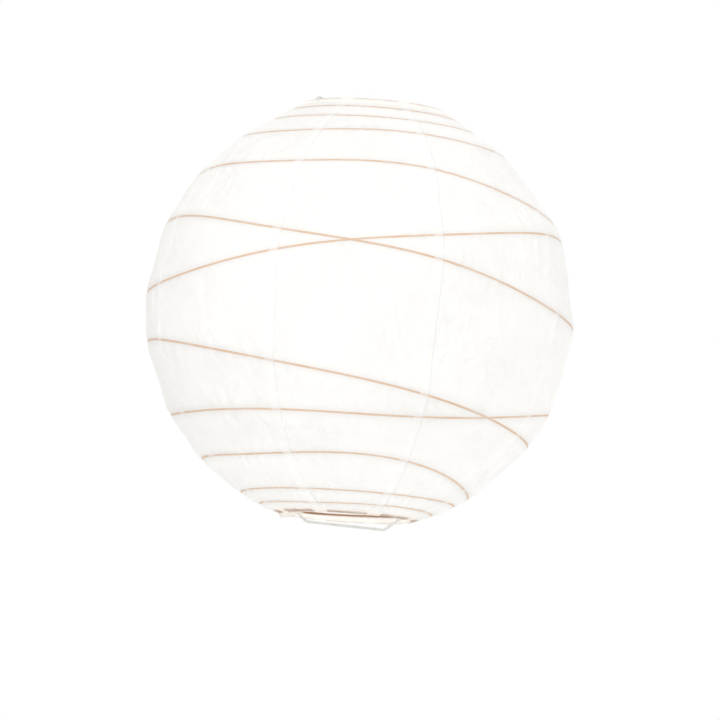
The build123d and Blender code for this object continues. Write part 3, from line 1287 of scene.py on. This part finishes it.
        # Across the gore: its own width first, then the lap that lies on the next gore.
        own = 1.0 - self.lap_share
        body = writer.product(writer.math("MINIMUM", across, own), 1 / own)
        beyond = writer.math("MAXIMUM", writer.math("SUBTRACT", across, own), 0.0)
        beyond = writer.product(beyond, 1 / self.lap_share)
        lap_angle = writer.math("DIVIDE", value["Lap"], reach)
        turned = writer.math("MULTIPLY_ADD", beyond, lap_angle, writer.product(body, value["Gore Angle"]))
        azimuth = writer.math("ADD", turned, value["Start"])
        ray = writer.join(writer.math("COSINE", azimuth), writer.math("SINE", azimuth), 0.0)
        on_globe = writer.raised(writer.scaled(ray, reach), height)
        sag, near = self.sag(writer, on_globe)
        sag = writer.product(sag, writer.math("SUBTRACT", 1.0, on_collar))
        shift = writer.vector("ADD", on_globe, writer.join(value["Seed"], value["Seed"], value["Seed"]))
        forms = self.forms(writer, value, Spot(shift, along, azimuth, turned, reach, near))
        # Moved square to the paper: out by the small forms, in by the sag, and the lap on top.
        layer = writer.step(across, own - 0.03, own - 0.002, 0.0, self.layer_step)
        lift = writer.math("ADD", writer.math("SUBTRACT", forms, sag), layer)
        reach = writer.math("MULTIPLY_ADD", lift, out_way, reach)
        height = writer.math("MULTIPLY_ADD", lift, up_way, height)
        place = writer.raised(writer.scaled(ray, reach), height)
        lap = writer.math("GREATER_THAN", across, own)
        kept = writer.kept(grid.outputs["Mesh"], REST_PLACE, "FLOAT_VECTOR", place)
        kept = writer.kept(kept, LAP, "FLOAT", lap)
        shown = writer.vector("ADD", place, GLOBE_PLACE)
        moved = writer.node("GeometryNodeSetPosition", {"Geometry": kept, "Position": shown})
        writer.close(out, moved.outputs[0], value["Paper"])
        return writer.tree

    def build(self) -> None:
        """Makes the eight gores and puts them on the frame."""
        tree = self.tree()
        for i in range(SHADE.gore_count):
            values: dict[str, Source] = {
                "Start": math.radians(SHADE.first_seam) + i * SHADE.gore_angle,
                "Gore Angle": SHADE.gore_angle,
                "Lap": SHADE.lap,
                "Length": self.length(),
                "Buckle": self.buckle,
                "Crease": self.crease,
                "Wrinkle": self.wrinkle,
                "Pucker": self.pucker,
                "Seam Pucker": self.seam_pucker,
                "Columns": self.columns,
                "Rows": self.rows,
                "Seed": self.seed,
                "Paper": self.finish,
            }
            piece = grow(f"shade_gore_{i + 1}", tree, values, wall=SHADE.paper)
            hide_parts(f"paper_gore_{i + 1}")
            fold_up(piece)
            LOG.info("%s: %d faces", piece.name, len(piece.data.polygons))


# ---------------------------------------------------------------------------------- hoops
@dataclass
class HoopCage:
    """The wire hoops that give the globe its facets."""

    finish: bpy.types.Material
    steps: int = 200
    sides: int = 10
    sleeve: float = 16.0 * MM              # paper sleeve where a hoop's two ends meet
    sleeve_radius: float = 0.62            # share of the wire's width
    first_splice: float = 0.11             # share of a turn at which the first hoop's ends meet
    splice_step: float = 0.37              # from one hoop's sleeve to the next one's
    last_splice: float = 0.9

    def tree(self) -> bpy.types.NodeTree:
        """Builds the geometry tree of one hoop.

        Returns:
            The tree.
        """
        number = "NodeSocketFloat"
        sizes = ["Layer", "Latitude", "Lean", "Low Side", "Wire", "Splice", "Sleeve Share"]
        sizes += [f"Wave {i} {part}" for i in (1, 2) for part in ("Turns", "Size", "Phase")]
        writer, given, out = new_tree(
            "Wire hoop",
            "GeometryNodeTree",
            [(label, number, 0.0) for label in sizes]
            + [
                ("Steps", "NodeSocketInt", self.steps),
                ("Sides", "NodeSocketInt", self.sides),
                ("Wrap", "NodeSocketMaterial", None),
            ],
            [("Hoop", "NodeSocketGeometry")],
        )
        value = given.outputs
        circle = writer.circle(value["Steps"], 1.0)
        x, y, _ = writer.split(writer.node("GeometryNodeInputPosition").outputs[0])
        # The waves turn with the shade, not with the hoop's own axis.
        azimuth = writer.math("ADD", writer.math("ARCTAN2", y, x), value["Low Side"])
        rise: Source = 0.0
        for i in (1, 2):
            angle = writer.math("MULTIPLY_ADD", azimuth, value[f"Wave {i} Turns"], value[f"Wave {i} Phase"])
            rise = writer.math("MULTIPLY_ADD", writer.math("SINE", angle), value[f"Wave {i} Size"], rise)
        latitude = writer.math("ADD", value["Latitude"], writer.math("DIVIDE", rise, value["Layer"]))
        radius = writer.product(writer.math("COSINE", latitude), value["Layer"])
        height = writer.product(writer.math("SINE", latitude), value["Layer"])
        place = writer.raised(writer.scaled(writer.join(x, y, 0.0), radius), height)
        for axis, turn in (("Y_AXIS", value["Lean"]), ("Z_AXIS", value["Low Side"])):
            inputs = {"Vector": place, "Angle": turn}
            place = writer.node("ShaderNodeVectorRotate", inputs, rotation_type=axis).outputs[0]
        shown = writer.vector("ADD", place, GLOBE_PLACE)
        route = writer.node("GeometryNodeSetPosition", {"Geometry": circle.outputs[0], "Position": shown})
        section = writer.circle(value["Sides"], writer.product(value["Wire"], 0.5))
        tube = writer.node(
            "GeometryNodeCurveToMesh", {"Curve": route.outputs[0], "Profile Curve": section.outputs[0]}
        )
        wide = writer.circle(value["Sides"], writer.product(value["Wire"], self.sleeve_radius))
        past = writer.math("ADD", value["Splice"], value["Sleeve Share"])
        part = writer.node(
            "GeometryNodeTrimCurve", {0: route.outputs[0], 2: value["Splice"], 3: past}, mode="FACTOR"
        )
        sleeve = writer.node(
            "GeometryNodeCurveToMesh",
            {"Curve": part.outputs[0], "Profile Curve": wide.outputs[0], "Fill Caps": True},
        )
        both = writer.node("GeometryNodeJoinGeometry")
        for made in (sleeve, tube):
            writer.put(both.inputs[0], made.outputs[0])
        writer.close(out, both.outputs[0], value["Wrap"])
        return writer.tree

    def build(self) -> None:
        """Makes every hoop and puts it on the frame."""
        tree = self.tree()
        for number, hoop in enumerate(HOOPS):
            radius, height = SHADE.hoop_place(hoop)
            values: dict[str, Source] = {
                "Layer": math.hypot(radius, height),
                "Latitude": math.atan2(height, radius),
                "Lean": math.radians(hoop.tilt),
                "Low Side": math.radians(hoop.low_side),
                "Wire": SHADE.rib_wire,
                "Splice": (self.first_splice + self.splice_step * number) % self.last_splice,
                "Sleeve Share": self.sleeve / (math.tau * radius),
                "Steps": self.steps,
                "Sides": self.sides,
                "Wrap": self.finish,
            }
            for i, wave in enumerate(hoop.waves, 1):
                values[f"Wave {i} Turns"] = float(wave.turns)
                values[f"Wave {i} Size"] = wave.size
                values[f"Wave {i} Phase"] = wave.phase
            piece = grow(hoop.name.replace("rib", "hoop_wire"), tree, values)
            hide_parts(hoop.name)
            fold_up(piece)
            LOG.info("%s: radius %.1f mm", piece.name, radius / MM)


# ---------------------------------------------------------------------------------- hems
HEM_PAPER = 0.14 * MM
UNSTAINED = 0.06               # the faint stain that is everywhere on a hem


def around_axis(radius: np.ndarray, azimuth: np.ndarray, height: np.ndarray) -> np.ndarray:
    """Returns points, one row each, from their radii, azimuths and heights."""
    return np.stack([radius * np.cos(azimuth), radius * np.sin(azimuth), height + 0 * azimuth], -1)


def paper_piece(
    name: str, points: np.ndarray, faces: np.ndarray, stain: np.ndarray, finish: bpy.types.Material
) -> bpy.types.Object:
    """Makes a piece of hem paper, with the attributes that its finish reads.

    Args:
        name: The piece's name.
        points: Its points, from the globe's centre.
        faces: Its faces, four points each.
        stain: How far each point is stained, 0 to 1.
        finish: Its material.

    Returns:
        The piece.
    """
    mesh = bpy.data.meshes.new(name)
    mesh.from_pydata((points + GLOBE_PLACE).tolist(), [], faces.tolist())
    place = mesh.attributes.new(REST_PLACE, "FLOAT_VECTOR", "POINT")
    place.data.foreach_set("vector", points.astype(np.float32).ravel())
    side = mesh.attributes.new(HEM_SIDE, "FLOAT", "POINT")
    side.data.foreach_set("value", stain.astype(np.float32).ravel())
    mesh.shade_smooth()
    mesh.materials.append(finish)
    return add_object(name, mesh)


@dataclass
class Hem:
    """Paper folded back over one end ring: a roll that goes with the ring, and strips glued to the gores."""

    name: str
    node: str
    body: str
    ring_radius: float
    ring_height: float                     # from the globe's centre
    slope: float                           # radians; the way that the paper leads away from the ring
    finish: bpy.types.Material
    steps: int = 360                       # round the ring
    roll_steps: int = 24                   # round the wire
    strip_steps: int = 8                   # across a strip
    roll_leg: float = 2.4 * MM
    roll_radius: float = 1.95 * MM
    roll_ripple: float = 0.1 * MM
    strip_gap: float = 0.1 * MM            # between the roll and a strip
    strip_edge: float = 0.7 * MM           # how uneven a strip's cut edge is
    strip_ripple: float = 0.22 * MM
    strip_lift: float = 0.02 * MM          # how far the strip outside lies above the roll
    strip_inside: float = 1.2 * MM         # how far the strip inside comes past the ring's layer
    stain_from: float = 0.0                # degrees round the wire, 90 outside and 180 away from the paper
    stain_to: float = 130.0
    stain_fade: float = 20.0               # degrees over which the stain fades
    roll_start: float = 60.0               # the angle whose stain the roll's outer leg takes
    strip_stain: float = 0.95              # how far the strip outside is stained beside the roll

    def place(self, azimuth: np.ndarray, along: np.ndarray, off: np.ndarray) -> np.ndarray:
        """Gives points beside the ring.

        Args:
            azimuth: Angles round the ring, in radians.
            along: Distances from the ring's centre line, the way that the paper leads.
            off: Distances from the ring's centre line towards the outside of the shade.

        Returns:
            Points from the globe's centre, one row each.
        """
        away = math.cos(self.slope), math.sin(self.slope)
        side = -math.copysign(1.0, self.ring_height)
        outwards = away[1] * side, -away[0] * side
        radius = self.ring_radius + along * away[0] + off * outwards[0]
        height = self.ring_height + along * away[1] + off * outwards[1]
        return around_axis(radius, azimuth, height)

    def shell(self, middle: Section, azimuth: np.ndarray) -> Shell:
        """Makes one closed strip round the ring from its middle line.

        Args:
            middle: Along, off and stain of each point of the strip's section.
            azimuth: The angles of the steps.

        Returns:
            Points, faces and each point's stain.
        """
        line = np.array([[along, off] for along, off, _ in middle])
        way = np.gradient(line, axis=0)
        way /= np.linalg.norm(way, axis=1, keepdims=True)
        normal = np.stack([-way[:, 1], way[:, 0]], 1) * HEM_PAPER / 2
        loop = np.concatenate([line + normal, (line - normal)[::-1]])
        stains = [stain for *_, stain in middle]
        count, steps = len(loop), len(azimuth)
        points = np.stack([self.place(azimuth, along, off) for along, off in loop]).reshape(-1, 3)
        i, j = np.meshgrid(np.arange(count), np.arange(steps), indexing="ij")
        i2, j2 = (i + 1) % count, (j + 1) % steps
        faces = np.stack([i * steps + j, i * steps + j2, i2 * steps + j2, i2 * steps + j], -1)
        return points, faces.reshape(-1, 4), np.repeat(np.array(stains + stains[::-1]), steps)

    def make(self, name: str, shells: list[Shell]) -> bpy.types.Object:
        """Joins closed shells into one piece at the origin.

        Args:
            name: The piece's name.
            shells: Points, faces and stains of each shell.

        Returns:
            The piece.
        """
        points, stains = (np.concatenate([shell[i] for shell in shells]) for i in (0, 2))
        starts = np.cumsum([0] + [len(shell[0]) for shell in shells[:-1]])
        faces = np.concatenate([shell[1] + start for shell, start in zip(shells, starts)])
        piece = paper_piece(name, points, faces, stains, self.finish)
        face_outwards(piece.data)
        return piece

    def ripple(self, azimuth: np.ndarray, size: float, phase: float) -> np.ndarray:
        """Makes an uneven ripple round the ring.

        Args:
            azimuth: Angles round the ring, in radians.
            size: About how high it is, in metres.
            phase: Where it starts, in radians.

        Returns:
            Its height at each angle.
        """
        waves = enumerate(((7, 0.4), (19, 0.3), (43, 0.2), (88, 0.25)), 1)
        return size * sum(share * np.sin(turns * azimuth + phase * i) for i, (turns, share) in waves)

    def stain(self, angle: float) -> float:
        """Gives how far the roll is stained at an angle round its wire.

        Args:
            angle: The angle, in degrees.

        Returns:
            The stain, from 0 to 1.
        """
        rise = min(max((angle - self.stain_from) / self.stain_fade, UNSTAINED), 1.0)
        fall = min(max((self.stain_to + self.stain_fade - angle) / self.stain_fade, UNSTAINED), 1.0)
        return rise * fall

    def roll(self, azimuth: np.ndarray) -> Section:
        """Draws the roll's section: a leg outside, the turn round the wire and a leg inside.

        Args:
            azimuth: The angles of the steps.

        Returns:
            The section.
        """
        flat, reach, leg = 0 * azimuth, self.roll_radius, self.roll_leg
        found = [(a + flat, reach + flat, self.stain(self.roll_start)) for a in (leg, leg / 2)]
        for i in range(self.roll_steps + 1):
            angle = math.pi * (0.5 + i / self.roll_steps)
            bulge = reach + self.ripple(azimuth, self.roll_ripple, 0.2 * i)
            found.append((np.cos(angle) * bulge, np.sin(angle) * bulge, self.stain(math.degrees(angle))))
        return found + [(a + flat, -reach + flat, UNSTAINED) for a in (leg / 2, leg)]

    def strip(self, azimuth: np.ndarray, outside: bool) -> Section:
        """Draws the section of a strip that is glued to the gores.

        Args:
            azimuth: The angles of the steps.
            outside: Whether the strip lies outside the shade, or inside it.

        Returns:
            The section.
        """
        reach, found = self.roll_radius, []
        start = self.roll_leg + self.strip_gap
        width = SHADE.hem_width + self.ripple(azimuth, self.strip_edge, 1.1) - self.roll_leg - self.strip_gap
        for i in range(self.strip_steps + 1):
            share = i / self.strip_steps
            stain = UNSTAINED
            if outside:
                wavy = self.ripple(azimuth, self.strip_ripple * share, 2.0) * (1 if share else 0)
                off = np.maximum(reach + self.strip_lift + wavy, reach)
                stain = self.strip_stain * min(1.0, max(0.0, 1.25 - 1.5 * share))
            else:
                rise = min(1.0, share * 1.15) ** 1.2
                off = -reach + (reach + self.strip_inside) * rise + 0 * azimuth
            found.append((start + width * share, off, stain))
        return found

    def build(self) -> None:
        """Makes the roll and the strips, and puts them on the frame."""
        azimuth = np.arange(self.steps) * math.tau / self.steps
        piece = self.make(f"{self.name}_roll", [self.shell(self.roll(azimuth), azimuth)])
        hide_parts(self.node)
        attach(piece, self.body)
        LOG.info("%s on %s", piece.name, self.body)
        strips = [self.shell(self.strip(azimuth, outside), azimuth) for outside in (True, False)]
        piece = self.make(f"{self.name}_strip", strips)
        fold_up(piece)
        LOG.info("%s with the gores", piece.name)


@dataclass
class LooseEnd:
    """The end of the bottom hem's paper that has come unglued and hangs below the ring."""

    finish: bpy.types.Material
    start: float = 152.0                   # azimuths, degrees
    end: float = 204.0
    drop: float = 6.5 * MM                 # at its deepest
    curl: float = 2.0 * MM                 # how far its free edge stands out
    wave: float = 0.7 * MM                 # how uneven that edge is
    top: float = 2.2 * MM                  # from the ring's centre line down to where it leaves the roll
    inset: float = 0.3 * MM                # how far inside the ring's centre line it starts
    columns: int = 60
    rows: int = 10
    narrowest: float = 10.0 * MM           # least side of a sheet
    slack: float = 1.06                    # its curl takes that much more paper than its drop

    def build(self) -> None:
        """Makes the loose end and puts it on the bottom rim."""
        along, deep = np.linspace(0, 1, self.columns), np.linspace(0, 1, self.rows)
        share, down = np.meshgrid(along, deep, indexing="ij")
        azimuth = np.radians(self.start + (self.end - self.start) * share)
        depth = self.drop * (np.sin(math.pi * share**0.85) ** 1.3 * 0.95 + 0.05)
        wave = self.wave * np.sin(9 * share + 4 * down) * down
        radius = SHADE.bottom_ring - self.inset + self.curl * down**2 + wave
        points = around_axis(radius, azimuth, SHADE.bottom_height - self.top - depth * down).reshape(-1, 3)
        i, j = np.meshgrid(np.arange(self.columns - 1), np.arange(self.rows - 1), indexing="ij")
        corner = i * self.rows + j
        faces = np.stack([corner, corner + 1, corner + 1 + self.rows, corner + self.rows], -1).reshape(-1, 4)
        stain = np.clip(0.5 - 4 * down, 0.0, 1.0) + 0.4 * np.clip(8 * down - 7, 0.0, 1.0)
        piece = paper_piece("bottom_hem_loose_end", points, faces, stain, self.finish)
        add_wall(piece, HEM_PAPER, 0.0)
        apply_modifiers(piece)
        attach(piece, "bottom_rim")


# ---------------------------------------------------------------------------------- metal
@dataclass
class Metalwork:
    """The wire rings, the sprung wire and the fitter, whose shapes come from the frame."""

    brown: bpy.types.Material
    white: bpy.types.Material

    def build(self) -> None:
        """Dresses each node of the frame that shows."""
        for name, finish in (
            ("top_ring", self.brown),
            ("bottom_ring", self.brown),
            ("expander_wire", self.white),
            ("fitter_ring", self.white),
        ):
            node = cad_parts[name]
            if not node.data.materials:
                node.data.materials.append(finish)
            for slot in node.material_slots:
                slot.material = finish
            LOG.info("%s dressed in %s", name, finish.name)


@dataclass
class WeldBeads:
    """The two small welds that join the sprung wire's ends to the fitter ring."""

    finish: bpy.types.Material
    reach: float = 27.1 * MM               # from the lantern's axis
    size: Triple = (1.9 * MM, 2.7 * MM, 1.5 * MM)
    lump: float = 0.07                     # how uneven a bead is, as shares of its size
    small_lump: float = 0.05

    def build(self) -> None:
        """Makes the beads and puts them on the hanging frame."""
        form = bmesh.new()
        for side in (-1, 1):
            ball = bmesh.ops.create_icosphere(form, subdivisions=3, radius=1.0)
            for vertex in ball["verts"]:
                x, y, z = vertex.co
                grown = 1.0 + self.lump * math.sin(5 * x + 3 * side) * math.cos(4 * y)
                grown += self.small_lump * math.sin(7 * z + side)
                across, deep, high = (part * size * grown for part, size in zip((x, y, z), self.size))
                vertex.co = (side * self.reach + across, deep, high)
        mesh = bpy.data.meshes.new("weld_beads")
        form.to_mesh(mesh)
        form.free()
        mesh.shade_smooth()
        mesh.materials.append(self.finish)
        piece = add_object("weld_beads", mesh)
        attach(piece, "hanging_frame")
        LOG.info("%s on the fitter ring", piece.name)


# ---------------------------------------------------------------------------------- studio
@dataclass(frozen=True)
class Lamp:
    """One soft square light that faces the globe."""

    name: str
    way: Triple                            # from the globe to the light
    reach: float                           # distance from the globe, metres
    size: float                            # side of the square, metres
    power: float                           # watts
    tint: Triple

    def hang(self, globe: Vector) -> None:
        """Makes the light.

        Args:
            globe: The globe's centre.
        """
        data = bpy.data.lights.new(self.name, "AREA")
        data.shape, data.size, data.energy, data.color = "SQUARE", self.size, self.power, self.tint
        light = add_object(self.name, data)
        back = Vector(self.way).normalized()
        light.location = globe + back * self.reach
        light.rotation_euler = (-back).to_track_quat("-Z", "Y").to_euler()


LAMPS = (
    Lamp("Key", (-0.9, -0.6, 1.1), 3.2, 1.2, 31.0, (1.0, 0.99, 0.975)),
    Lamp("Fill", (0.95, -0.45, 0.4), 3.4, 2.0, 25.0, (0.98, 0.99, 1.0)),
    Lamp("Low front", (-0.5, -0.87, -0.6), 3.2, 2.0, 25.0, (1.0, 0.995, 0.985)),
    Lamp("Back", (0.4, 0.9, 0.7), 3.4, 2.0, 18.0, (1.0, 0.99, 0.98)),
)


@dataclass(frozen=True)
class Studio:
    """Pale floor, soft light and the camera."""

    globe: Vector = Vector(GLOBE_PLACE)
    distance: float = 6.0
    heading: float = -120.0                # degrees; the side from which the lantern is seen
    drop: float = 6.0                      # degrees; how far below the level the lantern is seen from
    roll: float = 4.0                      # degrees
    sensor: float = 36.0                   # millimetres
    view_width: float = 0.757              # metres across the picture at the lantern
    shift: tuple[float, float] = (0.0, -0.0625)   # shares of the view's width
    clip_end: float = 60.0                 # how far the camera sees
    floor_height: float = -2.1
    floor_half: float = 25.0               # half the floor's side
    bulb_power: float = 0.3                # watts
    bulb_size: float = 60 * MM
    surroundings: float = 0.583            # strength of the light from all round

    def camera(self) -> None:
        """Makes the camera."""
        data = bpy.data.cameras.new("Camera")
        data.sensor_width = self.sensor
        data.lens = self.sensor * self.distance / self.view_width
        data.shift_x, data.shift_y = self.shift
        data.clip_end = self.clip_end
        camera = add_object("Camera", data)
        side, low = math.radians(self.heading), math.radians(self.drop)
        back = Vector((math.cos(side) * math.cos(low), math.sin(side) * math.cos(low), -math.sin(low)))
        camera.location = self.globe + back * self.distance
        facing = (-back).to_track_quat("-Z", "Y").to_matrix()
        camera.rotation_euler = (facing @ Matrix.Rotation(math.radians(self.roll), 3, "Z")).to_euler()
        bpy.context.scene.camera = camera

    def bulb(self) -> None:
        """Lights the shade from inside, as a bulb does."""
        data = bpy.data.lights.new("Inside", "POINT")
        data.energy, data.shadow_soft_size, data.color = self.bulb_power, self.bulb_size, (1.0, 0.99, 0.975)
        add_object("Inside", data).location = self.globe

    def world(self) -> None:
        """Makes the pale surroundings, which look white and light the scene a little less."""
        world = bpy.data.worlds.new("Studio")
        world.use_nodes = True
        world.node_tree.nodes.clear()
        writer = NodeWriter(world.node_tree)
        seen = writer.node("ShaderNodeLightPath").outputs["Is Camera Ray"]
        light = {"Color": (1.0, 0.995, 0.985, 1.0), "Strength": self.surroundings}
        glow = writer.node("ShaderNodeBackground", light)
        wall = writer.node("ShaderNodeBackground", {"Color": (1.0, 1.0, 1.0, 1.0), "Strength": 1.0})
        both = writer.shaders(seen, glow, wall)
        writer.put(writer.node("ShaderNodeOutputWorld").inputs["Surface"], both.outputs[0])
        bpy.context.scene.world = world

    def floor(self) -> None:
        """Makes the floor."""
        half = self.floor_half
        square = ((-half, -half), (half, -half), (half, half), (-half, half))
        corners = [(x, y, self.floor_height) for x, y in square]
        mesh = bpy.data.meshes.new("floor")
        mesh.from_pydata(corners, [], [(0, 1, 2, 3)])
        mesh.materials.append(floor_material())
        add_object("floor", mesh)

    def build(self) -> None:
        """Makes the camera, the lights, the surroundings and the floor."""
        self.camera()
        for lamp in LAMPS:
            lamp.hang(self.globe)
        self.bulb()
        self.world()
        self.floor()
        bpy.context.scene.view_settings.view_transform = "Standard"
        LOG.info("studio: %d lamps, a bulb, a floor and the camera", len(LAMPS))


def main() -> None:
    """Builds the lantern's looks and the studio."""
    logging.basicConfig(level=logging.INFO, format="%(name)s: %(message)s")
    fibres, wear = TissueFibres().build(), CoatWear().build()
    brown, white = WRAP.build(wear), POWDER.build(wear)
    Studio().build()
    PaperShade(TissueFinish().build(fibres)).build()
    HoopCage(brown).build()
    hem = HemFinish()
    Hem(
        name="top_hem",
        node="top_hem",
        body="hanging_frame",
        ring_radius=SHADE.top_ring,
        ring_height=SHADE.top_height,
        slope=-SHADE.collar_slope,
        finish=hem.build("Top hem paper", fibres, SHADE.top_ring),
        stain_from=60.0,
        stain_to=145.0,
        strip_stain=0.06,
    ).build()
    Hem(
        name="bottom_hem",
        node="bottom_hem",
        body="bottom_rim",
        ring_radius=SHADE.bottom_ring,
        ring_height=SHADE.bottom_height,
        slope=math.radians(90 + SHADE.bottom_latitude),
        finish=hem.build("Bottom hem paper", fibres, SHADE.bottom_ring),
    ).build()
    LooseEnd(hem.build("Loose hem paper", fibres, SHADE.bottom_ring)).build()
    Metalwork(brown, white).build()
    WeldBeads(white).build()


if __name__ == "__main__":
    main()
